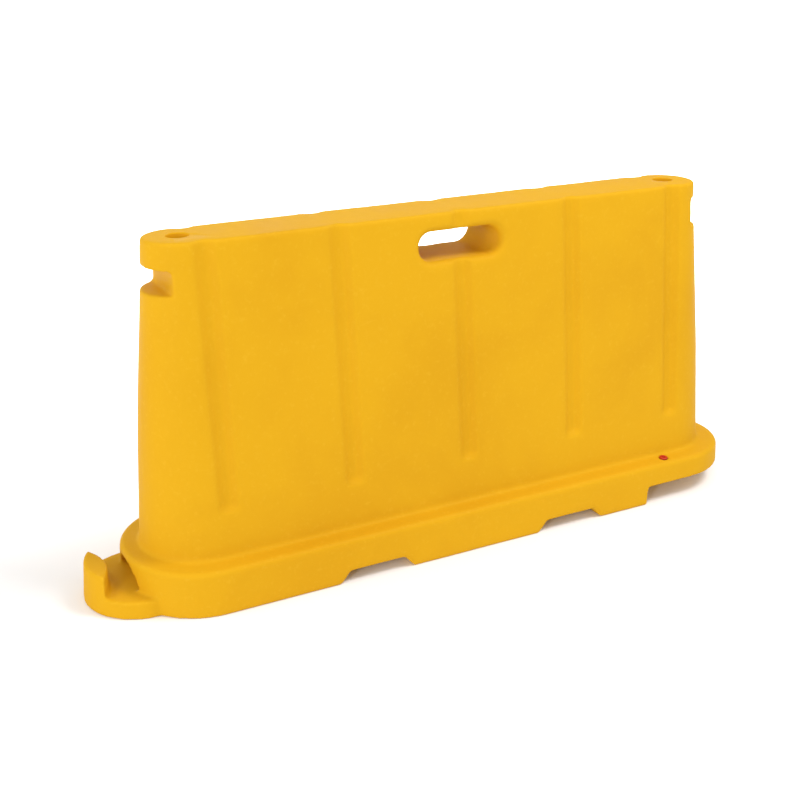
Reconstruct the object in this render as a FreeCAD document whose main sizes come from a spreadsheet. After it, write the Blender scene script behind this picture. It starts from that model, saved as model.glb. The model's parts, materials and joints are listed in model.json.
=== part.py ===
import FreeCAD, Part
import Sketcher
import math
import os
import re

# Interlocking plastic crowd control barrier: one hollow rotomoulded shell with a ballast plug in its ledge
# and a screwed fill cap in a round well at each end of its top.
#
# Frame, in millimetres: +X along the length towards the socket end, +Z up, the front face towards -Y, the
# origin on the ground at the middle of the base.  Lengths called "half" run from the middle outwards.
DIMENSIONS = {
    # Shell
    "skin": 5.5,
    "clearance": 0.3,
    "overall_height": 914.0,
    "wall_top_half_length": 813.5,
    "wall_top_half_width": 89.7,
    "wall_foot_half_length": 880.5,
    "wall_foot_half_width": 163.1,
    "wall_foot_height": 124.0,
    "wall_end_flat": 4.0,
    "base_half_length": 938.5,
    "base_centre_x": 4.8,
    "base_half_width": 223.2,
    "base_corner": 206.5,
    "base_draft_inset": 6.4,
    "ledge_edge_height": 119.0,
    "ledge_round": 12.0,
    "foot_round": 10.0,
    "top_round": 6.0,
    # Flutes down both faces
    "flute_spacing": 345.0,
    "flute_count": 5.0,
    "flute_depth": 13.0,
    "flute_top_half_width": 30.0,
    "flute_low_half_width": 28.5,
    "flute_floor_ratio": 0.3,
    "flute_low_height": 238.0,
    "flute_runout": 16.0,
    # Hand slot
    "handle_x": 0.0,
    "handle_height": 827.0,
    "handle_half_length": 122.0,
    "handle_half_height": 38.0,
    "handle_round": 18.0,
    # Lift channels under the base
    "channel_depth": 32.0,
    "left_channel_x": -315.0,
    "right_channel_x": 298.0,
    "channel_low_half_width": 107.0,
    "channel_top_half_width": 79.0,
    # Coupling tongue at the left end, with a lens-shaped lip, and the arched pocket behind its trough
    "tongue_centre_x": -886.0,
    "tongue_radius": 151.0,
    "tongue_draft_inset": 9.0,
    "tongue_inner_end_x": -700.0,
    "trough_floor": 46.0,
    "lip_inner_x": -1007.0,
    "lip_bulge": 32.0,
    "lip_half_width": 90.0,
    "lip_top": 104.0,
    "end_pocket_x": -895.0,
    "end_pocket_radius": 92.0,
    "end_pocket_axis_height": 11.0,
    "end_pocket_reach": 60.0,
    # Socket at the right end
    "overhang_height": 54.0,
    "overhang_step_x": 571.0,
    "overhang_step_slope": 6.0,
    "socket_low_x": 806.0,
    "socket_high_x": 906.0,
    "socket_half_width": 108.0,
    "socket_ceiling": 107.0,
    "socket_corner": 30.0,
    # Head notches
    "notch_face_x": 770.0,
    "left_notch_low": 790.0,
    "left_notch_high": 848.0,
    "right_notch_low": 791.0,
    "right_notch_high": 866.0,
    "notch_reach": 60.0,
    # Fill wells, inserts, gaskets and caps
    "well_x": 726.0,
    "well_radius": 28.0,
    "well_depth": 26.0,
    "fill_bore_radius": 20.0,
    "fill_thread_radius": 17.3,
    "fill_insert_length": 24.0,
    "fill_flange_radius": 25.0,
    "fill_flange_thickness": 3.0,
    "fill_gasket_radius": 23.0,
    "fill_gasket_thickness": 2.0,
    "fill_head_radius": 24.0,
    "fill_head_height": 8.0,
    "fill_shank_radius": 17.0,
    "fill_shank_length": 18.0,
    "cap_notch_radius": 3.5,
    "cap_notch_count": 12.0,
    "cap_key_half": 6.5,
    "cap_key_depth": 4.0,
    # Ledge plug, its insert and gasket
    "plug_x": 650.0,
    "plug_y": -187.0,
    "plug_seat_radius": 14.0,
    "plug_seat_depth": 2.5,
    "plug_bore_radius": 10.0,
    "plug_thread_radius": 8.3,
    "plug_insert_length": 18.0,
    "plug_flange_radius": 14.0,
    "plug_flange_thickness": 2.5,
    "plug_gasket_radius": 11.5,
    "plug_gasket_thickness": 1.5,
    "plug_head_radius": 12.5,
    "plug_head_height": 4.0,
    "plug_shank_radius": 8.0,
    "plug_shank_length": 14.0,
    "plug_socket_radius": 5.5,
    "plug_socket_depth": 2.5,
}

OUTSIDE, INSIDE = "0", "skin"
CLEARANCE = "clearance"

doc = FreeCAD.newDocument("crowd_control_barrier")
sheet = doc.addObject("Spreadsheet::Sheet", "dims")
for row, (alias, size) in enumerate(DIMENSIONS.items(), start=1):
    sheet.set(f"A{row}", alias)
    sheet.set(f"B{row}", str(size))
    sheet.setAlias(f"B{row}", alias)
doc.recompute()


# Formulas and sketches

def formula(words):
    """Turns a formula in the sheet's aliases into a FreeCAD expression."""
    return re.sub(r"[a-z_]+", lambda word: f"dims.{word[0]}" if word[0] in DIMENSIONS else word[0], words)


def value(words):
    """The present value of a formula in the sheet's aliases."""
    return float(sheet.evalExpression(words))


def bind(thing, field, words):
    thing.setExpression(field, formula(words))


def new_sketch(body, name, plane, offset="0"):
    """An empty sketch on one of the body's own origin planes, moved along the plane's normal by offset."""
    support = next(item for item in body.Origin.OriginFeatures if item.Role == plane)
    sketch = body.newObject("Sketcher::SketchObject", name)
    sketch.AttachmentSupport = (support, [""])
    sketch.MapMode = "FlatFace"
    bind(sketch, "AttachmentOffset.Base.z", offset)
    return sketch


def dimension(sketch, kind, where, words, name):
    """A named driving constraint whose value is a formula."""
    index = sketch.addConstraint(Sketcher.Constraint(kind, *where, value(words)))
    sketch.renameConstraint(index, name)
    bind(sketch, f"Constraints.{name}", words)


def polygon(body, name, plane, corners, offset="0"):
    """A closed outline of straight sides through corners given as pairs of formulas."""
    sketch = new_sketch(body, name, plane, offset)
    points = [FreeCAD.Vector(value(along), value(across), 0) for along, across in corners]
    for index, point in enumerate(points):
        sketch.addGeometry(Part.LineSegment(point, points[(index + 1) % len(points)]), False)
    for index, (along, across) in enumerate(corners):
        sketch.addConstraint(Sketcher.Constraint("Coincident", index, 2, (index + 1) % len(corners), 1))
        dimension(sketch, "DistanceX", (-1, 1, index, 1), along, f"along_{index}")
        dimension(sketch, "DistanceY", (-1, 1, index, 1), across, f"across_{index}")
    return sketch


def rounded_rectangle(body, name, plane, low, high, corner, offset="0"):
    """A rectangle between two corner points, given as pairs of formulas, with its corners rounded."""
    sketch = new_sketch(body, name, plane, offset)
    x0, y0, x1, y1 = value(low[0]), value(low[1]), value(high[0]), value(high[1])
    radius = value(corner)
    corners = [(x1 - radius, y0 + radius), (x1 - radius, y1 - radius),
               (x0 + radius, y1 - radius), (x0 + radius, y0 + radius)]
    sides = [((x0 + radius, y0), (x1 - radius, y0)), ((x1, y0 + radius), (x1, y1 - radius)),
             ((x1 - radius, y1), (x0 + radius, y1)), ((x0, y1 - radius), (x0, y0 + radius))]
    for start, end in sides:
        sketch.addGeometry(Part.LineSegment(FreeCAD.Vector(*start, 0), FreeCAD.Vector(*end, 0)), False)
    for turn, centre in enumerate(corners):
        circle = Part.Circle(FreeCAD.Vector(*centre, 0), FreeCAD.Vector(0, 0, 1), radius)
        first = (turn - 1) * math.pi / 2
        sketch.addGeometry(Part.ArcOfCircle(circle, first, first + math.pi / 2), False)
    for side in range(4):
        arc = side + 4
        sketch.addConstraint(Sketcher.Constraint("Tangent", side, 2, arc, 1))
        sketch.addConstraint(Sketcher.Constraint("Tangent", arc, 2, (side + 1) % 4, 1))
        sketch.addConstraint(Sketcher.Constraint("Vertical" if side % 2 else "Horizontal", side))
        if side:
            sketch.addConstraint(Sketcher.Constraint("Equal", 4, arc))
    dimension(sketch, "DistanceX", (-1, 1, 3, 1), low[0], "low_x")
    dimension(sketch, "DistanceX", (-1, 1, 1, 1), high[0], "high_x")
    dimension(sketch, "DistanceY", (-1, 1, 0, 1), low[1], "low_y")
    dimension(sketch, "DistanceY", (-1, 1, 2, 1), high[1], "high_y")
    dimension(sketch, "Radius", (4,), corner, "corner")
    return sketch


def circle(body, name, plane, centre, radius, offset="0"):
    sketch = new_sketch(body, name, plane, offset)
    middle = FreeCAD.Vector(value(centre[0]), value(centre[1]), 0)
    sketch.addGeometry(Part.Circle(middle, FreeCAD.Vector(0, 0, 1), value(radius)), False)
    dimension(sketch, "DistanceX", (-1, 1, 0, 3), centre[0], "centre_x")
    dimension(sketch, "DistanceY", (-1, 1, 0, 3), centre[1], "centre_y")
    dimension(sketch, "Radius", (0,), radius, "radius")
    return sketch


def bowed_outline(body, name, plane, corners, bow_radius, bow_centre, offset="0"):
    """Like polygon, but the last side is an arc that is centred on the first axis or on the second."""
    sketch = new_sketch(body, name, plane, offset)
    points = [FreeCAD.Vector(value(along), value(across), 0) for along, across in corners]
    for start, end in zip(points, points[1:]):
        sketch.addGeometry(Part.LineSegment(start, end), False)
    centre = FreeCAD.Vector(value(bow_centre[0]), value(bow_centre[1]), 0)
    angles = [math.atan2(point.y - centre.y, point.x - centre.x) for point in (points[0], points[-1])]
    arc = Part.Circle(centre, FreeCAD.Vector(0, 0, 1), value(bow_radius))
    last = sketch.addGeometry(Part.ArcOfCircle(arc, min(angles), max(angles)), False)
    first_end, last_end = (1, 2) if angles[0] < angles[1] else (2, 1)
    sketch.addConstraint(Sketcher.Constraint("Coincident", last, first_end, 0, 1))
    sketch.addConstraint(Sketcher.Constraint("Coincident", last, last_end, last - 1, 2))
    for index in range(last - 1):
        sketch.addConstraint(Sketcher.Constraint("Coincident", index, 2, index + 1, 1))
    for index, (along, across) in enumerate(corners):
        where = (-1, 1, index, 1) if index < last else (-1, 1, last - 1, 2)
        dimension(sketch, "DistanceX", where, along, f"along_{index}")
        dimension(sketch, "DistanceY", where, across, f"across_{index}")
    dimension(sketch, "Radius", (last,), bow_radius, "bow")
    return sketch


# Features

def add_loft(body, name, sections):
    loft = body.newObject("PartDesign::AdditiveLoft", name)
    loft.Profile = sections[0]
    loft.Sections = sections[1:]
    loft.Ruled = True
    return loft


def cut_loft(body, name, sections):
    loft = body.newObject("PartDesign::SubtractiveLoft", name)
    loft.Profile = sections[0]
    loft.Sections = sections[1:]
    loft.Ruled = True
    return loft


def pocket(body, name, sketch, length, side="One side", reverse=False):
    """Cuts the sketch out of the body over a length, and checks that it did cut."""
    doc.recompute()
    before = body.Shape.Volume
    cut = body.newObject("PartDesign::Pocket", name)
    cut.Profile = sketch
    cut.Type = "Length"
    cut.SideType = side
    cut.Reversed = reverse
    bind(cut, "Length", length)
    doc.recompute()
    if not body.Shape.Volume < before - 1.0:
        raise RuntimeError(f"{name} cuts nothing")
    return cut


def edges_where(shape, test):
    return [f"Edge{number}" for number, edge in enumerate(shape.Edges, start=1) if test(edge.BoundBox)]


def fillet(body, name, test, radius):
    doc.recompute()
    base = body.Tip
    rounding = body.newObject("PartDesign::Fillet", name)
    rounding.Base = (base, edges_where(base.Shape, test))
    bind(rounding, "Radius", radius)
    doc.recompute()
    return rounding


def level(height):
    """A test for edges that lie flat at a height."""
    return lambda box: abs(box.ZMin - height) < 0.6 and abs(box.ZMax - height) < 0.6


# The shell's form, built once for its outside and once, drawn in by the skin, for its hollow

def tongue(body, inset):
    """The round-ended coupling tongue: a trough floor with a lens-shaped lip standing on its outer edge."""
    def section(name, draft, height):
        reach = f"tongue_radius - {inset} - {draft}"
        low = (f"tongue_centre_x - ({reach})", f"-({reach})")
        high = ("tongue_inner_end_x", reach)
        return rounded_rectangle(body, name, "XY_Plane", low, high, f"{reach} - 1", height)

    add_loft(body, "TongueBlock", [section("TongueFoot", "0", inset),
                                   section("TongueTop", "tongue_draft_inset", f"lip_top - {inset}")])
    inner = f"lip_inner_x - {inset}"
    bow = "(lip_half_width ^ 2 + lip_bulge ^ 2) / (2 * lip_bulge)"
    wide = "tongue_radius + 20"
    corners = [(inner, "lip_half_width"), (inner, wide), ("tongue_inner_end_x + 5", wide),
               ("tongue_inner_end_x + 5", f"-({wide})"), (inner, f"-({wide})"), (inner, "-lip_half_width")]
    trough = bowed_outline(body, "TroughPlan", "XY_Plane", corners, bow,
                           (f"{inner} + lip_bulge - {bow}", "0"), f"trough_floor - {inset}")
    pocket(body, "Trough", trough, "lip_top", reverse=True)


def base_and_wall(body, inset):
    """The plinth, its sloping ledge and the drafted, round-ended wall, as one loft."""
    def section(name, length, width, corner, height, middle="0"):
        return rounded_rectangle(body, name, "XY_Plane", (f"{middle} - ({length})", f"-({width})"),
                                 (f"{middle} + {length}", width), corner, height)

    draft = f"{inset} + base_draft_inset"
    sections = [
        section("BaseFoot", f"base_half_length - {inset}", f"base_half_width - {inset}",
                f"base_corner - {inset}", inset, "base_centre_x"),
        section("BaseEdge", f"base_half_length - ({draft})", f"base_half_width - ({draft})",
                f"base_corner - ({draft})", f"ledge_edge_height - {inset}", "base_centre_x"),
        section("WallFoot", f"wall_foot_half_length - {inset}", f"wall_foot_half_width - {inset}",
                f"wall_foot_half_width - {inset} - wall_end_flat", f"wall_foot_height - {inset}"),
        section("WallTop", f"wall_top_half_length - {inset}", f"wall_top_half_width - {inset}",
                f"wall_top_half_width - {inset} - wall_end_flat", f"overall_height - {inset}"),
    ]
    add_loft(body, "BaseAndWall", sections)
    doc.recompute()


def ledge_and_top_edges(body, inset):
    """Rounds the ledge's edge, and on the outside the wall's foot and top as well."""
    fillet(body, "LedgeRound", level(value(f"ledge_edge_height - {inset}")), f"ledge_round - {inset}")
    if inset == OUTSIDE:
        fillet(body, "FootRound", level(value("wall_foot_height")), "foot_round")
        fillet(body, "TopRound", level(value("overall_height")), "top_round")


def end_pocket(body, inset):
    """The half-round pocket in the base's left end, which takes the trough's floor on under the ledge."""
    floor = f"trough_floor - {inset}"
    radius = f"end_pocket_radius + {inset}"
    half_width = f"(({radius}) ^ 2 - ({floor} - end_pocket_axis_height) ^ 2) ^ 0.5"
    arch = bowed_outline(body, "EndPocketArch", "YZ_Plane", [(half_width, floor), (f"-({half_width})", floor)],
                         radius, ("0", "end_pocket_axis_height"), f"end_pocket_x + {inset}")
    pocket(body, "EndPocket", arch, "end_pocket_reach")


def flutes(body, inset):
    """One tapering groove down the front face, repeated along the wall and mirrored to the back."""
    rise = "overall_height - wall_foot_height"
    slope = f"(wall_foot_half_width - wall_top_half_width) / ({rise})"

    def section(name, height, half_width, depth):
        face = f"wall_top_half_width + (overall_height - ({height})) * {slope}"
        middle = "-2 * flute_spacing"
        floor_half = f"({half_width}) * flute_floor_ratio"
        corners = [(f"{middle} - ({half_width})", f"-({face}) - 8"), (f"{middle} - ({half_width})", f"-({face})"),
                   (f"{middle} - {floor_half}", f"-({face}) + {depth}"),
                   (f"{middle} + {floor_half}", f"-({face}) + {depth}"),
                   (f"{middle} + ({half_width})", f"-({face})"), (f"{middle} + ({half_width})", f"-({face}) - 8")]
        return polygon(body, name, "XY_Plane", corners, height)

    widen = f"{inset} * 1.3"
    sections = [section("FluteTop", "overall_height + 12", f"flute_top_half_width + {widen}",
                        f"flute_depth + {inset}"),
                section("FluteLow", "flute_low_height + flute_runout", f"flute_low_half_width + {widen}",
                        f"flute_depth + {inset}"),
                section("FluteEnd", f"flute_low_height - {inset}", f"flute_low_half_width + {widen}",
                        f"{inset} + 0.5")]
    groove = cut_loft(body, "Flute", sections)
    doc.recompute()
    before = body.Shape.Volume
    everywhere = body.newObject("PartDesign::MultiTransform", "Flutes")
    everywhere.Originals = [groove]
    along = body.newObject("PartDesign::LinearPattern", "FluteRow")
    along.Direction = (sections[0], ["H_Axis"])
    bind(along, "Length", "(flute_count - 1) * flute_spacing")
    bind(along, "Occurrences", "flute_count")
    across = body.newObject("PartDesign::Mirrored", "FluteBacks")
    middle_plane = next(item for item in body.Origin.OriginFeatures if item.Role == "XZ_Plane")
    across.MirrorPlane = (middle_plane, [""])
    everywhere.Transformations = [along, across]
    body.Tip = everywhere
    doc.recompute()
    if not body.Shape.Volume < before - 1.0:
        raise RuntimeError("the flutes were not repeated")


def hand_slot(body, inset):
    """A slot through the wall, its rim rounded well in on both faces."""
    half_length, half_height = f"handle_half_length + {inset}", f"handle_half_height + {inset}"
    outline = rounded_rectangle(body, "HandSlotOutline", "XZ_Plane",
                                (f"handle_x - ({half_length})", f"handle_height - ({half_height})"),
                                (f"handle_x + {half_length}", f"handle_height + {half_height}"),
                                f"{half_height} - 1")
    pocket(body, "HandSlot", outline, "600", side="Symmetric")
    reach = value(half_length) + 1
    drop = value(half_height) + 1

    def on_rim(box):
        across = abs(box.XMin - value("handle_x")) < reach and abs(box.XMax - value("handle_x")) < reach
        upright = abs(box.ZMin - value("handle_height")) < drop and abs(box.ZMax - value("handle_height")) < drop
        return across and upright and box.YMin * box.YMax > 0

    fillet(body, "HandSlotRims", on_rim, f"handle_round - {inset}")


def lift_channels(body, inset):
    for side in ("left", "right"):
        middle = f"{side}_channel_x"
        low = f"channel_low_half_width + {inset}"
        top = f"channel_top_half_width + {inset}"
        corners = [(f"{middle} - ({low})", "-20"), (f"{middle} - ({low})", "0"),
                   (f"{middle} - ({top})", f"channel_depth + {inset}"),
                   (f"{middle} + ({top})", f"channel_depth + {inset}"),
                   (f"{middle} + ({low})", "0"), (f"{middle} + ({low})", "-20")]
        outline = polygon(body, f"{side.title()}ChannelOutline", "XZ_Plane", corners)
        pocket(body, f"{side.title()}Channel", outline, "600", side="Symmetric")


def socket_end(body, inset):
    """The raised right end that sits over the next barrier's tongue, with a socket for its lip."""
    far = "base_centre_x + base_half_length + 40"
    ceiling = f"overhang_height + {inset}"
    corners = [(f"overhang_step_x - {inset}", "-20"), (far, "-20"), (far, ceiling),
               (f"overhang_step_x + overhang_step_slope - {inset}", ceiling)]
    outline = polygon(body, "OverhangOutline", "XZ_Plane", corners)
    pocket(body, "Overhang", outline, "600", side="Symmetric")
    plan = rounded_rectangle(body, "SocketPlan", "XY_Plane",
                             (f"socket_low_x - {inset}", f"-socket_half_width - {inset}"),
                             (f"socket_high_x + {inset}", f"socket_half_width + {inset}"),
                             f"socket_corner + {inset}", "overhang_height - 10")
    pocket(body, "Socket", plan, f"socket_ceiling - overhang_height + 10 + {inset}", reverse=True)


def head_notches(body, inset):
    """A level slot across each rounded end, a little below the top."""
    for side, direction in (("left", "-1"), ("right", "1")):
        face = f"{direction} * (notch_face_x - {inset})"
        far = f"{direction} * (notch_face_x + notch_reach)"
        low, high = f"{side}_notch_low - {inset}", f"{side}_notch_high + {inset}"
        outline = polygon(body, f"{side.title()}NotchOutline", "XZ_Plane",
                          [(face, low), (face, high), (far, high), (far, low)])
        pocket(body, f"{side.title()}Notch", outline, "400", side="Symmetric")


def fill_wells(body, inset):
    for side, direction in (("left", "-1"), ("right", "1")):
        rim = circle(body, f"{side.title()}WellRim", "XY_Plane", (f"{direction} * well_x", "0"),
                     f"well_radius + {inset}", "overall_height + 5")
        pocket(body, f"{side.title()}Well", rim, f"well_depth + 5 + {inset}")
        if inset == OUTSIDE:
            bore = circle(body, f"{side.title()}FillBoreRim", "XY_Plane", (f"{direction} * well_x", "0"),
                          "fill_bore_radius", "overall_height - well_depth + 1")
            pocket(body, f"{side.title()}FillBore", bore, "skin + 6")


def shell_form(name, inset):
    body = doc.addObject("PartDesign::Body", name)
    tongue(body, inset)
    base_and_wall(body, inset)
    ledge_and_top_edges(body, inset)
    end_pocket(body, inset)
    hand_slot(body, inset)
    flutes(body, inset)
    lift_channels(body, inset)
    socket_end(body, inset)
    head_notches(body, inset)
    fill_wells(body, inset)
    return body


def ledge_cylinder(name, radius, height, depth):
    """A cutting cylinder on the ledge plug's axis, from a depth below the ledge upwards."""
    seat, tilt = plug_seat()
    tool = doc.addObject("Part::Cylinder", name)
    bind(tool, "Radius", radius)
    bind(tool, "Height", height)
    turn = FreeCAD.Rotation(FreeCAD.Vector(1, 0, 0), tilt)
    tool.Placement = FreeCAD.Placement(seat - turn.multVec(FreeCAD.Vector(0, 0, value(depth))), turn)
    return tool


def barrier_shell():
    hollow = doc.addObject("Part::Cut", "HollowShell")
    hollow.Base = shell_form("ShellOutside", OUTSIDE)
    hollow.Tool = shell_form("ShellInside", INSIDE)
    tools = doc.addObject("Part::MultiFuse", "PlugHole")
    tools.Shapes = [ledge_cylinder("PlugSeat", "plug_seat_radius", "plug_seat_depth + 8", "plug_seat_depth"),
                    ledge_cylinder("PlugBore", "plug_bore_radius", "skin + 16", "skin + 6")]
    shell = doc.addObject("Part::Cut", "BarrierShell")
    shell.Base = hollow
    shell.Tool = tools
    return shell


# Turned pieces, each built upright about its own axis with its seat at height 0

def turned(name, profile):
    body = doc.addObject("PartDesign::Body", name)
    outline = polygon(body, f"{name}Profile", "XZ_Plane", profile)
    spin = body.newObject("PartDesign::Revolution", f"{name}Turned")
    spin.Profile = outline
    spin.ReferenceAxis = (outline, ["V_Axis"])
    spin.Angle = 360
    doc.recompute()
    return body


def threaded_insert(name, kind, seat_depth):
    """A flanged bush moulded into the skin; its thread is a plain bore."""
    flange_top = f"-(skin + {CLEARANCE} + {seat_depth})"
    flange_low = f"{flange_top} - {kind}_flange_thickness"
    low = f"-{kind}_insert_length"
    profile = [(f"{kind}_thread_radius", "0"), (f"{kind}_bore_radius", "0"),
               (f"{kind}_bore_radius", flange_top), (f"{kind}_flange_radius", flange_top),
               (f"{kind}_flange_radius", flange_low), (f"{kind}_bore_radius", flange_low),
               (f"{kind}_bore_radius", low), (f"{kind}_thread_radius", low)]
    return turned(name, profile)


def gasket(name, kind):
    inner = f"{kind}_shank_radius + {CLEARANCE}"
    top = f"{CLEARANCE} + {kind}_gasket_thickness"
    profile = [(inner, CLEARANCE), (f"{kind}_gasket_radius", CLEARANCE), (f"{kind}_gasket_radius", top),
               (inner, top)]
    return turned(name, profile)


def screw_cap(name, kind, wall, chamfer):
    """A headed plug with a hollow shank; its thread is a plain cylinder."""
    head_low = f"2 * {CLEARANCE} + {kind}_gasket_thickness"
    head_top = f"{head_low} + {kind}_head_height"
    bore = f"{kind}_shank_radius - {wall}"
    shank_low = f"-{kind}_shank_length"
    profile = [("0", f"{head_low} - 1"), (bore, f"{head_low} - 1"), (bore, shank_low),
               (f"{kind}_shank_radius - 1", shank_low), (f"{kind}_shank_radius", f"{shank_low} + 1"),
               (f"{kind}_shank_radius", head_low), (f"{kind}_head_radius", head_low),
               (f"{kind}_head_radius", f"{head_top} - {chamfer}"),
               (f"{kind}_head_radius - {chamfer}", head_top), ("0", head_top)]
    return turned(name, profile)


def fill_cap(name):
    """The fill cap's head has finger notches round its rim and a square key recess in its middle."""
    body = screw_cap(name, "fill", 3, 2)
    head_top = f"2 * {CLEARANCE} + fill_gasket_thickness + fill_head_height"
    notch_rim = circle(body, f"{name}NotchRim", "XY_Plane", ("fill_head_radius + 1", "0"), "cap_notch_radius",
                       f"{head_top} + 1")
    notch = pocket(body, f"{name}Notch", notch_rim, "fill_head_height")
    before = body.Shape.Volume
    ring = body.newObject("PartDesign::PolarPattern", f"{name}Notches")
    ring.Originals = [notch]
    ring.Angle = 360
    bind(ring, "Occurrences", "cap_notch_count")
    ring.Axis = (axis_of(body, "Z_Axis"), [""])
    body.Tip = ring
    doc.recompute()
    if not body.Shape.Volume < before - 1.0:
        raise RuntimeError(f"{name} has one notch only")
    key = rounded_rectangle(body, f"{name}KeyOutline", "XY_Plane", ("-cap_key_half", "-cap_key_half"),
                            ("cap_key_half", "cap_key_half"), "1.5", f"{head_top} + 1")
    pocket(body, f"{name}Key", key, "cap_key_depth + 1")
    return body


def ledge_plug(name):
    """The ledge plug's low round head has a hexagonal key recess."""
    body = screw_cap(name, "plug", 2.5, 1.2)
    head_top = f"2 * {CLEARANCE} + plug_gasket_thickness + plug_head_height"
    corners = [(f"plug_socket_radius * cos({60 * step} deg)", f"plug_socket_radius * sin({60 * step} deg)")
               for step in range(6)]
    outline = polygon(body, f"{name}KeyOutline", "XY_Plane", corners, f"{head_top} + 1")
    pocket(body, f"{name}Key", outline, "plug_socket_depth + 1")
    return body


def axis_of(body, role):
    return next(item for item in body.Origin.OriginFeatures if item.Role == role)


def plug_seat():
    """The middle of the ledge plug's seat on the ledge, and the ledge's tilt in degrees."""
    fall = value("wall_foot_height - ledge_edge_height")
    run = value("base_half_width - base_draft_inset - wall_foot_half_width")
    tilt = math.degrees(math.atan2(fall, run))
    outward = value("plug_y + base_half_width - base_draft_inset")
    height = value("ledge_edge_height") + outward * fall / run
    return FreeCAD.Vector(value("plug_x"), value("plug_y"), height), tilt


def place(body, point, turn=FreeCAD.Rotation()):
    body.Placement = FreeCAD.Placement(point, turn)


# The assembly

nodes = {"barrier_shell": barrier_shell()}
for side, direction in (("left", -1), ("right", 1)):
    mouth = FreeCAD.Vector(direction * value("well_x"), 0, value("overall_height - well_depth"))
    title = side.title()
    pieces = {f"{side}_fill_insert": threaded_insert(f"{title}FillInsert", "fill", "0"),
              f"{side}_fill_gasket": gasket(f"{title}FillGasket", "fill"),
              f"{side}_fill_cap": fill_cap(f"{title}FillCap")}
    for piece in pieces.values():
        place(piece, mouth)
    nodes.update(pieces)

ledge_point, ledge_tilt = plug_seat()
ledge_turn = FreeCAD.Rotation(FreeCAD.Vector(1, 0, 0), ledge_tilt)
seat_point = ledge_point - ledge_turn.multVec(FreeCAD.Vector(0, 0, value("plug_seat_depth")))
ledge_pieces = {"ledge_plug_insert": threaded_insert("LedgePlugInsert", "plug", "1 - plug_seat_depth"),
                "ledge_plug_gasket": gasket("LedgePlugGasket", "plug"),
                "ledge_plug": ledge_plug("LedgePlug")}
for piece in ledge_pieces.values():
    place(piece, seat_point, ledge_turn)
nodes.update(ledge_pieces)
doc.recompute()

# Checks, then one file for each piece

for item in doc.Objects:
    if "Invalid" in item.State or "Error" in item.State:
        raise RuntimeError(f"{item.Name} failed: {item.State}")
for node, piece in nodes.items():
    piece.Label = node
    if piece.Shape.isNull() or not piece.Shape.isValid():
        raise RuntimeError(f"{node} has no valid shape")

os.makedirs("parts", exist_ok=True)
for node, piece in nodes.items():
    piece.Shape.exportStep(f"parts/{node}.step")
    print(f"{node}: {piece.Shape.Volume / 1000:.1f} cm3, {len(piece.Shape.Solids)} solid")
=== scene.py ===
import json
import math

import bmesh
import bpy
import numpy as np
from mathutils import Matrix, Vector, noise


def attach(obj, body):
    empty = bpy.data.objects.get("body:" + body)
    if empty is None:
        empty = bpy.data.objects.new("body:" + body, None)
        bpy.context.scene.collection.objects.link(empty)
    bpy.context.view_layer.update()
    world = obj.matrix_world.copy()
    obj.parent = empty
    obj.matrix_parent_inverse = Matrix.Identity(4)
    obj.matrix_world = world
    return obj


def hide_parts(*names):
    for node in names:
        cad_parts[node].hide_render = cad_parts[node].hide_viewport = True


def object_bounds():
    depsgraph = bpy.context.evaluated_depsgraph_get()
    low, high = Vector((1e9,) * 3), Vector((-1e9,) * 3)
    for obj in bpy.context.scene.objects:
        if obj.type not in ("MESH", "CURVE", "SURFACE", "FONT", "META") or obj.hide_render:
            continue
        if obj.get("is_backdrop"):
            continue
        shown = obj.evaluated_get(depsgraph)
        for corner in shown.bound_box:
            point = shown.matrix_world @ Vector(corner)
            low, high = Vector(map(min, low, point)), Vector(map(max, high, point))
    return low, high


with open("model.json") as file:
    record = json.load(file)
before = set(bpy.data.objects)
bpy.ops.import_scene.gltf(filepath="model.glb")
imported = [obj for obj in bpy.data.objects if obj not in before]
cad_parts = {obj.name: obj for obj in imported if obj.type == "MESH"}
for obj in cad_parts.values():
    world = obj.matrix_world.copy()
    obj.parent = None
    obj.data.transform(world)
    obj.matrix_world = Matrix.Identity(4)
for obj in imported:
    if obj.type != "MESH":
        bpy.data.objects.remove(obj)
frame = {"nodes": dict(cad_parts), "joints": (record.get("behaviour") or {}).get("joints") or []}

CAD_LOW, CAD_HIGH = (Vector(corner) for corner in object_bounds())
JOINTS = {joint["name"]: joint for joint in frame["joints"]}
MM = 0.001


# Meshes

def add_piece(name, mesh):
    piece = bpy.data.objects.new(name, mesh)
    bpy.context.scene.collection.objects.link(piece)
    return piece


def mesh_of(name, bm):
    """Writes a bmesh into a new mesh and frees it."""
    mesh = bpy.data.meshes.new(name)
    bm.to_mesh(mesh)
    bm.free()
    return mesh


def apply_modifiers(piece):
    graph = bpy.context.evaluated_depsgraph_get()
    mesh = bpy.data.meshes.new_from_object(piece.evaluated_get(graph), depsgraph=graph)
    piece.modifiers.clear()
    piece.data = mesh


def shade(mesh, sharp_degrees):
    """Smooth shading, broken where two faces meet at more than an angle."""
    mesh.shade_smooth()
    mesh.set_sharp_from_angle(angle=math.radians(sharp_degrees))


def seat_frame(joint):
    """A joint's own frame: its origin on the axis at the seat, and +Z along the axis."""
    axis = Vector(joint["axis"]).normalized()
    turn = Vector((0, 0, 1)).rotation_difference(axis).to_matrix().to_4x4()
    return Matrix.Translation(joint["pos_m"]) @ turn


def arc(centre, radius, first, last, steps):
    """Points (radius, height) along an arc, with its angles in degrees."""
    angles = [math.radians(first + (last - first) * step / steps) for step in range(steps + 1)]
    return [(centre[0] + radius * math.cos(a), centre[1] + radius * math.sin(a)) for a in angles]


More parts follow.
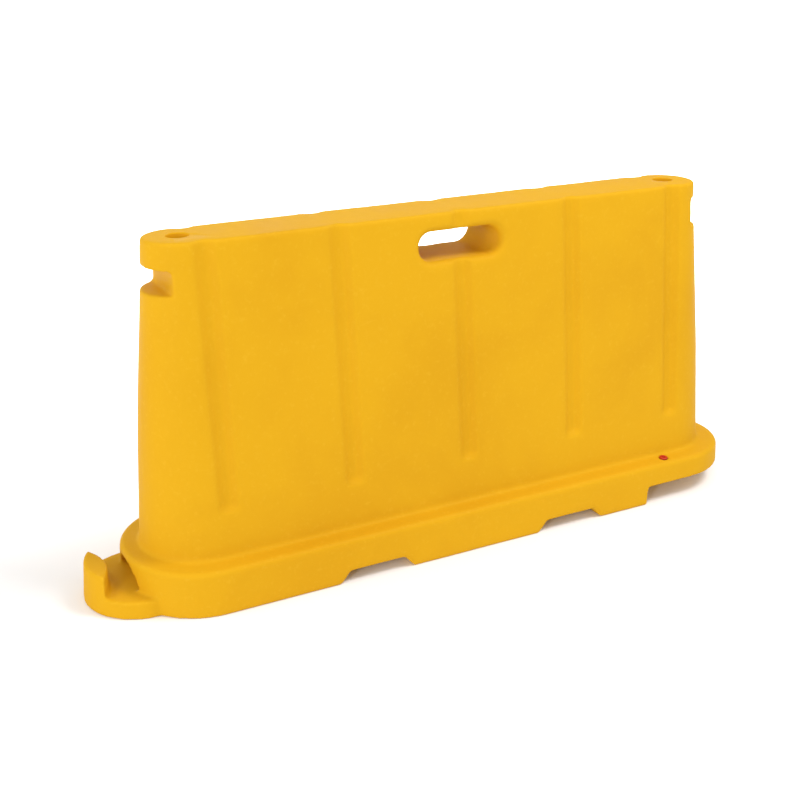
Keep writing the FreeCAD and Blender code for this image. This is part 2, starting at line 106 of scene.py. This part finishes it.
def vert_round_axis(bm, place, radius, part_of_turn, height):
    """A new vertex at a radius and height about the place's Z axis."""
    angle = 2 * math.pi * part_of_turn
    return bm.verts.new(place @ Vector((radius * math.cos(angle), radius * math.sin(angle), height)))


def turned(bm, profile, place, segments=96):
    """Spins a profile, which starts and ends on the axis, into a closed solid."""
    rings = []
    for radius, height in profile:
        steps = range(segments if radius > 0 else 1)
        rings.append([vert_round_axis(bm, place, radius, step / segments, height) for step in steps])
    for low, high in zip(rings, rings[1:]):
        for step in range(segments):
            after = (step + 1) % segments
            corners = {low[step % len(low)]: None, low[after % len(low)]: None,
                       high[after % len(high)]: None, high[step % len(high)]: None}
            bm.faces.new(list(corners))


# The shell: the outside of the CAD shell, with every edge as soft as a rotational moulding leaves it

VOXEL = 4 * MM
WELL_RADIUS, FILL_BORE = 28 * MM, 20 * MM
PLUG_SEAT_RADIUS, PLUG_BORE = 14 * MM, 10 * MM
PLUG_SEAT_DEPTH = 2.5 * MM
BORE_DEPTH = 14 * MM


def near_axis(joint, point):
    """A point's distance from a joint's axis, and its height above the joint's seat."""
    local = seat_frame(joint).inverted() @ point
    return math.hypot(local.x, local.y), local.z


def outside_of(node):
    """The outside of the hollow shell as one closed mesh, with its wells and plug seat filled level."""
    bm = bmesh.new()
    bm.from_mesh(node.data)
    bmesh.ops.remove_doubles(bm, verts=bm.verts, dist=1e-5)
    well_depth = CAD_HIGH.z - JOINTS["left_cap_turn"]["pos_m"][2]
    holes = [("left_cap_turn", WELL_RADIUS, well_depth), ("right_cap_turn", WELL_RADIUS, well_depth),
             ("ledge_plug_turn", PLUG_SEAT_RADIUS, PLUG_SEAT_DEPTH)]
    inner = []
    for face in bm.faces:
        middle = face.calc_center_median()
        for name, radius, depth in holes:
            away, height = near_axis(JOINTS[name], middle)
            if away < radius + 0.1 * MM and -BORE_DEPTH < height < depth - 0.2 * MM:
                inner.append(face)
                break
    bmesh.ops.delete(bm, geom=inner, context="FACES")
    reached = {min(bm.verts, key=lambda vert: vert.co.z)}
    edge_of_search = list(reached)
    while edge_of_search:
        vert = edge_of_search.pop()
        for edge in vert.link_edges:
            other = edge.other_vert(vert)
            if other not in reached:
                reached.add(other)
                edge_of_search.append(other)
    bmesh.ops.delete(bm, geom=[vert for vert in bm.verts if vert not in reached], context="VERTS")
    bmesh.ops.holes_fill(bm, edges=[edge for edge in bm.edges if edge.is_boundary], sides=0)
    bmesh.ops.recalc_face_normals(bm, faces=bm.faces)
    return mesh_of("shell_outside", bm)


def swell_and_waver(mesh):
    """The ends bulge a little at mid height, and every wall wavers by part of a millimetre as it cools."""
    count = len(mesh.vertices)
    points = np.empty(count * 3)
    normals = np.empty(count * 3)
    mesh.vertices.foreach_get("co", points)
    mesh.vertices.foreach_get("normal", normals)
    points, normals = points.reshape(-1, 3), normals.reshape(-1, 3)
    foot, top, swell = 0.15, 0.78, 4 * MM
    end_start, end_run = 0.72, 0.12
    up = np.clip((points[:, 2] - foot) / (top - foot), 0, 1)
    outward = np.clip((np.abs(points[:, 0]) - end_start) / end_run, 0, 1)
    points[:, 0] += np.sign(points[:, 0]) * swell * np.sin(np.pi * up) ** 2 * outward
    long_wave, short_wave, waver = 7.0, 23.0, 0.7 * MM
    heights = np.array([noise.noise(Vector(point) * long_wave)
                        + 0.35 * noise.noise(Vector(point) * short_wave) for point in points])
    points += normals * (heights * waver)[:, None]
    points = np.clip(points, np.array(CAD_LOW), np.array(CAD_HIGH))
    mesh.vertices.foreach_set("co", points.ravel())
    mesh.update()


def well_and_seat_cutter():
    """The wells with their bores, and the plug's seat with its bore, as one cutting mesh."""
    bm = bmesh.new()
    rim = 4.2 * MM
    top = CAD_HIGH.z - JOINTS["left_cap_turn"]["pos_m"][2] + 0.6 * MM
    well = [(0, -30 * MM), (FILL_BORE, -30 * MM), (FILL_BORE, -0.5 * MM), (FILL_BORE + 0.5 * MM, 0),
            *arc((WELL_RADIUS - 2 * MM, 2 * MM), 2 * MM, -90, 0, 4),
            *arc((WELL_RADIUS + rim, top - rim), rim, 180, 90, 8),
            (WELL_RADIUS + rim, top + 10 * MM), (0, top + 10 * MM)]
    for name in ("left_cap_turn", "right_cap_turn"):
        turned(bm, well, seat_frame(JOINTS[name]))
    rim, top = 1.6 * MM, PLUG_SEAT_DEPTH + 0.3 * MM
    seat = [(0, -20 * MM), (PLUG_BORE, -20 * MM), (PLUG_BORE, -0.3 * MM), (PLUG_BORE + 0.3 * MM, 0),
            *arc((PLUG_SEAT_RADIUS - 0.6 * MM, 0.6 * MM), 0.6 * MM, -90, 0, 3),
            *arc((PLUG_SEAT_RADIUS + rim, top - rim), rim, 180, 90, 6),
            (PLUG_SEAT_RADIUS + rim, top + 6 * MM), (0, top + 6 * MM)]
    turned(bm, seat, seat_frame(JOINTS["ledge_plug_turn"]), segments=64)
    bmesh.ops.recalc_face_normals(bm, faces=bm.faces)
    return add_piece("cutter", mesh_of("cutter", bm))


def shell_moulding():
    piece = add_piece("shell_moulding", outside_of(frame["nodes"]["barrier_shell"]))
    remesh = piece.modifiers.new("soft", "REMESH")
    remesh.mode = "VOXEL"
    remesh.voxel_size = VOXEL
    rounding = piece.modifiers.new("rounding", "SMOOTH")
    rounding.factor = 0.5
    rounding.iterations = 15
    apply_modifiers(piece)
    swell_and_waver(piece.data)
    thin = piece.modifiers.new("thin", "DECIMATE")
    thin.ratio = 0.25
    apply_modifiers(piece)
    cutter = well_and_seat_cutter()
    holes = piece.modifiers.new("holes", "BOOLEAN")
    holes.operation = "DIFFERENCE"
    holes.solver = "EXACT"
    holes.object = cutter
    apply_modifiers(piece)
    bpy.data.objects.remove(cutter)
    shade(piece.data, 38)
    return piece


# Small pieces: CAD shapes with their edges broken, and real threads on the screws

SHARP_EDGE, SMOOTH_EDGE = 35, 40
FLAT_AREA = 25 * MM * MM
RIM = 0.12 * MM


def softened(node_name, name, width):
    """A copy of a CAD node, its edges rounded over a width and its large flats given two thin rims."""
    bm = bmesh.new()
    bm.from_mesh(frame["nodes"][node_name].data)
    bmesh.ops.remove_doubles(bm, verts=bm.verts, dist=1e-6)
    bmesh.ops.dissolve_limit(bm, angle_limit=math.radians(1.0), verts=bm.verts, edges=bm.edges)
    corners = [edge for edge in bm.edges
               if edge.is_manifold and edge.calc_face_angle(0) > math.radians(SHARP_EDGE)]
    bmesh.ops.bevel(bm, geom=corners, offset=width, segments=3, profile=0.5, affect="EDGES",
                    clamp_overlap=True)
    flats = [face for face in bm.faces if face.calc_area() > FLAT_AREA]
    for _ in range(2):
        bmesh.ops.inset_individual(bm, faces=flats, thickness=RIM, use_even_offset=True)
    mesh = mesh_of(name, bm)
    shade(mesh, SMOOTH_EDGE)
    return add_piece(name, mesh)


def thread_profile(phase):
    """A rounded trapezoid thread's height, 0 to 1, over one pitch."""
    rise = 0.5 - 0.5 * math.cos(2 * math.pi * phase)
    return min(1.0, max(0.0, (rise - 0.25) * 2.0))


def threaded_sleeve(bm, place, root, crest, wall, pitch, low, high):
    """A tube about an axis whose outer face carries a helical thread from root to crest radius."""
    sides = 96
    steps = max(12, round((high - low) / pitch * 10))
    outer, inner = [], []
    for level in range(steps + 1):
        height = low + (high - low) * level / steps
        fade = min(1.0, 3 * level / steps, 8 * (steps - level) / steps)
        ring, core = [], []
        for side in range(sides):
            phase = (height / pitch - side / sides) % 1.0
            radius = root + (crest - root) * thread_profile(phase) * fade
            ring.append(vert_round_axis(bm, place, radius, side / sides, height))
            core.append(vert_round_axis(bm, place, wall, side / sides, height))
        outer.append(ring)
        inner.append(core)
    for side in range(sides):
        after = (side + 1) % sides
        for ring, ring_above in zip(outer, outer[1:]):
            bm.faces.new((ring[side], ring[after], ring_above[after], ring_above[side]))
        for core, core_above in zip(inner, inner[1:]):
            bm.faces.new((core[after], core[side], core_above[side], core_above[after]))
        bm.faces.new((inner[0][side], inner[0][after], outer[0][after], outer[0][side]))
        bm.faces.new((outer[-1][side], outer[-1][after], inner[-1][after], inner[-1][side]))


def screw_piece(node_name, name, joint_name, width, crest, root, pitch, low, high):
    """A cap or plug: its CAD shape with softened edges, its plain shank drawn in under a threaded sleeve."""
    piece = softened(node_name, name, width)
    place = seat_frame(JOINTS[joint_name])
    back = place.inverted()
    wall = root - 0.6 * MM
    bm = bmesh.new()
    bm.from_mesh(piece.data)
    for vert in bm.verts:
        local = back @ vert.co
        away = math.hypot(local.x, local.y)
        if local.z < high + 0.1 * MM and away > wall:
            local.x, local.y = local.x * wall / away, local.y * wall / away
            vert.co = place @ local
    threaded_sleeve(bm, place, root, crest, wall - 0.2 * MM, pitch, low, high)
    bm.to_mesh(piece.data)
    bm.free()
    shade(piece.data, SMOOTH_EDGE)
    return piece


# Materials

def graph(name):
    """A new material's node tree, its shader and its object coordinates."""
    material = bpy.data.materials.new(name)
    material.use_nodes = True
    nodes, links = material.node_tree.nodes, material.node_tree.links
    coordinates = nodes.new("ShaderNodeTexCoord").outputs["Object"]
    return material, nodes, links, nodes["Principled BSDF"], coordinates


def noise_field(nodes, links, coordinates, scale, detail=3.0, roughness=0.5, stretch=None, warp=0.0):
    texture = nodes.new("ShaderNodeTexNoise")
    texture.inputs["Scale"].default_value = scale
    texture.inputs["Detail"].default_value = detail
    texture.inputs["Roughness"].default_value = roughness
    texture.inputs["Distortion"].default_value = warp
    if stretch:
        mapping = nodes.new("ShaderNodeMapping")
        mapping.inputs["Scale"].default_value = stretch
        links.new(coordinates, mapping.inputs["Vector"])
        coordinates = mapping.outputs["Vector"]
    links.new(coordinates, texture.inputs["Vector"])
    return texture.outputs["Fac"]


def remap(nodes, links, value, low, high, to_low=0.0, to_high=1.0):
    """Spreads a range of values onto another, smoothly, and holds it there beyond the ends."""
    node = nodes.new("ShaderNodeMapRange")
    node.interpolation_type = "SMOOTHSTEP"
    for socket, number in zip(("From Min", "From Max", "To Min", "To Max"), (low, high, to_low, to_high)):
        node.inputs[socket].default_value = number
    links.new(value, node.inputs["Value"])
    return node.outputs["Result"]


def arithmetic(nodes, links, operation, *values):
    node = nodes.new("ShaderNodeMath")
    node.operation = operation
    for socket, value in zip(node.inputs, values):
        if isinstance(value, (int, float)):
            socket.default_value = value
        else:
            links.new(value, socket)
    return node.outputs["Value"]


def tint(nodes, links, under, over, amount):
    """Mixes a colour over another by an amount."""
    node = nodes.new("ShaderNodeMix")
    node.data_type = "RGBA"
    sockets = {"Factor": node.inputs[0], "A": node.inputs[6], "B": node.inputs[7]}
    for key, value in (("Factor", amount), ("A", under), ("B", over)):
        if isinstance(value, tuple):
            sockets[key].default_value = (*value, 1.0)
        else:
            links.new(value, sockets[key])
    return node.outputs[2]


def bump(nodes, links, height, distance, strength=1.0, under=None):
    node = nodes.new("ShaderNodeBump")
    node.inputs["Distance"].default_value = distance
    node.inputs["Strength"].default_value = strength
    links.new(height, node.inputs["Height"])
    if under:
        links.new(under, node.inputs["Normal"])
    return node.outputs["Normal"]


def moulded_plastic(name, colour, pale, deep, gloss, peel_scale=420.0, wear=0.5, specular=0.045):
    """Polyethylene: cloudy colour, orange-peel skin, pale scuffs, painted shade in the hollows and rubbed
    edges.
    """
    material, nodes, links, shader, place = graph(name)
    cloud = noise_field(nodes, links, place, 2.6, 4.0, 0.55, warp=0.4)
    speck = noise_field(nodes, links, place, 90.0, 4.0, 0.6)
    base = tint(nodes, links, deep, colour, remap(nodes, links, cloud, 0.30, 0.62))
    base = tint(nodes, links, base, pale, remap(nodes, links, speck, 0.52, 0.78, 0.0, 0.28))
    scuff_field = noise_field(nodes, links, place, 34.0, 5.0, 0.62, stretch=(0.22, 1.0, 2.4), warp=0.6)
    patch = noise_field(nodes, links, place, 4.3, 2.0, 0.5)
    scuffs = arithmetic(nodes, links, "MULTIPLY", remap(nodes, links, scuff_field, 0.60, 0.70),
                        remap(nodes, links, patch, 0.50, 0.66))
    geometry = nodes.new("ShaderNodeNewGeometry")
    edges = remap(nodes, links, geometry.outputs["Pointiness"], 0.515, 0.56)
    # Painted shade: concave hollows and creases are darkened towards the deep colour, where less light
    # reaches
    painted_hollow_shade = remap(nodes, links, geometry.outputs["Pointiness"], 0.492, 0.455)
    rubbed = arithmetic(nodes, links, "MULTIPLY", edges, remap(nodes, links, speck, 0.36, 0.58, 0.25, 1.0))
    marks = arithmetic(nodes, links, "MAXIMUM", arithmetic(nodes, links, "MULTIPLY", scuffs, 0.35 * wear),
                       arithmetic(nodes, links, "MULTIPLY", rubbed, 0.55 * wear))
    base = tint(nodes, links, base, pale, marks)
    base = tint(nodes, links, base, deep, arithmetic(nodes, links, "MULTIPLY", painted_hollow_shade, 0.35))
    links.new(base, shader.inputs["Base Color"])
    rough = remap(nodes, links, cloud, 0.3, 0.7, gloss - 0.05, gloss + 0.06)
    rough = arithmetic(nodes, links, "ADD", rough, arithmetic(nodes, links, "MULTIPLY", marks, 0.25))
    links.new(rough, shader.inputs["Roughness"])
    peel = noise_field(nodes, links, place, peel_scale, 2.0, 0.5)
    ripple = noise_field(nodes, links, place, 38.0, 2.0, 0.5)
    normal = bump(nodes, links, ripple, 0.9 * MM, 0.35)
    normal = bump(nodes, links, peel, 0.35 * MM, 0.45, normal)
    normal = bump(nodes, links, scuffs, -0.12 * MM, 0.5, normal)
    links.new(normal, shader.inputs["Normal"])
    shader.inputs["Specular IOR Level"].default_value = specular
    return material


def rubber(name):
    """Sealing rubber: near black, matt, with a dusty bloom and a fine grain."""
    material, nodes, links, shader, place = graph(name)
    bloom = noise_field(nodes, links, place, 60.0, 5.0, 0.6)
    colour = tint(nodes, links, (0.012, 0.012, 0.013), (0.060, 0.056, 0.050),
                  remap(nodes, links, bloom, 0.45, 0.75))
    links.new(colour, shader.inputs["Base Color"])
    links.new(remap(nodes, links, bloom, 0.3, 0.7, 0.62, 0.82), shader.inputs["Roughness"])
    grain = noise_field(nodes, links, place, 1800.0, 2.0, 0.5)
    links.new(bump(nodes, links, grain, 0.08 * MM, 0.6), shader.inputs["Normal"])
    return material


def studio_floor(name):
    material, nodes, links, shader, place = graph(name)
    mottle = noise_field(nodes, links, place, 1.3, 3.0, 0.5)
    colour = tint(nodes, links, (0.91, 0.91, 0.91), (0.94, 0.94, 0.94), mottle)
    links.new(colour, shader.inputs["Base Color"])
    shader.inputs["Roughness"].default_value = 0.9
    shader.inputs["Specular IOR Level"].default_value = 0.1
    return material


YELLOW = moulded_plastic("rotomoulded_yellow", (0.640, 0.338, 0.009), (0.72, 0.42, 0.030),
                         (0.605, 0.308, 0.008), gloss=0.56)
CAP_YELLOW = moulded_plastic("cap_yellow", (0.80, 0.375, 0.005), (0.90, 0.50, 0.04), (0.70, 0.30, 0.004),
                             gloss=0.42, peel_scale=900.0, wear=0.8)
RED = moulded_plastic("plug_red", (0.46, 0.018, 0.004), (0.62, 0.09, 0.04), (0.32, 0.010, 0.002),
                      gloss=0.34, peel_scale=1400.0, wear=0.7, specular=0.4)
INSERT = moulded_plastic("insert_plastic", (0.72, 0.36, 0.02), (0.84, 0.48, 0.06), (0.60, 0.28, 0.01),
                         gloss=0.48, peel_scale=1200.0)
RUBBER = rubber("sealing_rubber")


# The pieces

def finish_piece(piece, node, body, material):
    piece.data.materials.clear()
    piece.data.materials.append(material)
    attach(piece, body)
    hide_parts(node)


finish_piece(shell_moulding(), "barrier_shell", "shell", YELLOW)
for side in ("left", "right"):
    finish_piece(softened(f"{side}_fill_insert", f"{side}_insert_bush", 0.3 * MM), f"{side}_fill_insert",
                 "shell", INSERT)
    finish_piece(softened(f"{side}_fill_gasket", f"{side}_cap_seal", 0.45 * MM), f"{side}_fill_gasket",
                 f"{side}_fill_gasket", RUBBER)
    cap = screw_piece(f"{side}_fill_cap", f"{side}_cap_moulding", f"{side}_cap_turn", 0.7 * MM,
                      crest=16.9 * MM, root=15.6 * MM, pitch=4 * MM, low=-17.6 * MM, high=2.2 * MM)
    finish_piece(cap, f"{side}_fill_cap", f"{side}_fill_cap", CAP_YELLOW)
finish_piece(softened("ledge_plug_insert", "ledge_insert_bush", 0.2 * MM), "ledge_plug_insert",
             "shell", INSERT)
finish_piece(softened("ledge_plug_gasket", "ledge_plug_seal", 0.3 * MM), "ledge_plug_gasket",
             "ledge_plug_gasket", RUBBER)
red_plug = screw_piece("ledge_plug", "red_ledge_plug", "ledge_plug_turn", 0.5 * MM,
                       crest=7.9 * MM, root=7.1 * MM, pitch=2.5 * MM, low=-13.7 * MM, high=1.6 * MM)
finish_piece(red_plug, "ledge_plug", "ledge_plug", RED)


# The studio

def floor():
    """A wide pale floor that curves up far behind the object."""
    half, rise, steps = 14.0, 5.0, 14
    profile = [(-half, 0.0), (half - rise, 0.0)]
    profile += [(half - rise + rise * math.sin(a), rise - rise * math.cos(a))
                for a in (math.pi / 2 * (step + 1) / steps for step in range(steps))]
    bm = bmesh.new()
    rows = [[bm.verts.new((x, y, z)) for x in (-half, half)] for y, z in profile]
    for low, high in zip(rows, rows[1:]):
        bm.faces.new((low[0], low[1], high[1], high[0]))
    sheet = add_piece("floor", mesh_of("floor", bm))
    shade(sheet.data, 60)
    sheet.data.materials.append(studio_floor("pale_floor"))
    sheet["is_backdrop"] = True


def softbox(name, place, target, size, power):
    data = bpy.data.lights.new(name, "AREA")
    data.size = size
    data.energy = power
    lamp = bpy.data.objects.new(name, data)
    bpy.context.scene.collection.objects.link(lamp)
    lamp.location = place
    lamp.rotation_euler = (Vector(target) - Vector(place)).to_track_quat("-Z", "Y").to_euler()


def studio_light():
    world = bpy.data.worlds.new("studio")
    bpy.context.scene.world = world
    world.use_nodes = True
    world.node_tree.nodes["Background"].inputs["Color"].default_value = (1.0, 1.0, 1.0, 1.0)
    world.node_tree.nodes["Background"].inputs["Strength"].default_value = 0.72
    middle = (0.0, 0.0, 0.4)
    softbox("key", (-6.6, -5.6, 3.0), middle, 1.4, 195)
    softbox("side", (-9.0, -3.0, 2.2), middle, 1.2, 160)
    softbox("overhead", (2.2, -1.7, 4.7), middle, 1.8, 150)
    softbox("end", (-2.6, 0.3, 3.6), (-0.95, 0.0, 0.1), 0.8, 18)
    softbox("backdrop", (3.5, 3.0, 5.5), (4.5, 11.0, 0.5), 8.0, 2000)
    bpy.context.scene.view_settings.view_transform = "Standard"


def camera():
    data = bpy.data.cameras.new("camera")
    data.lens = 53.1
    data.sensor_width = 36.0
    data.clip_end = 60.0
    eye = bpy.data.objects.new("camera", data)
    bpy.context.scene.collection.objects.link(eye)
    turn, tilt, roll = (math.radians(angle) for angle in (27.374, -20.972, -0.434))
    eye.location = (-1.525229, -2.684888, 1.546235)
    eye.rotation_euler = (Matrix.Rotation(-turn, 3, "Z") @ Matrix.Rotation(math.pi / 2 + tilt, 3, "X")
                          @ Matrix.Rotation(roll, 3, "Z")).to_euler()
    bpy.context.scene.camera = eye


floor()
studio_light()
camera()

bpy.context.view_layer.update()
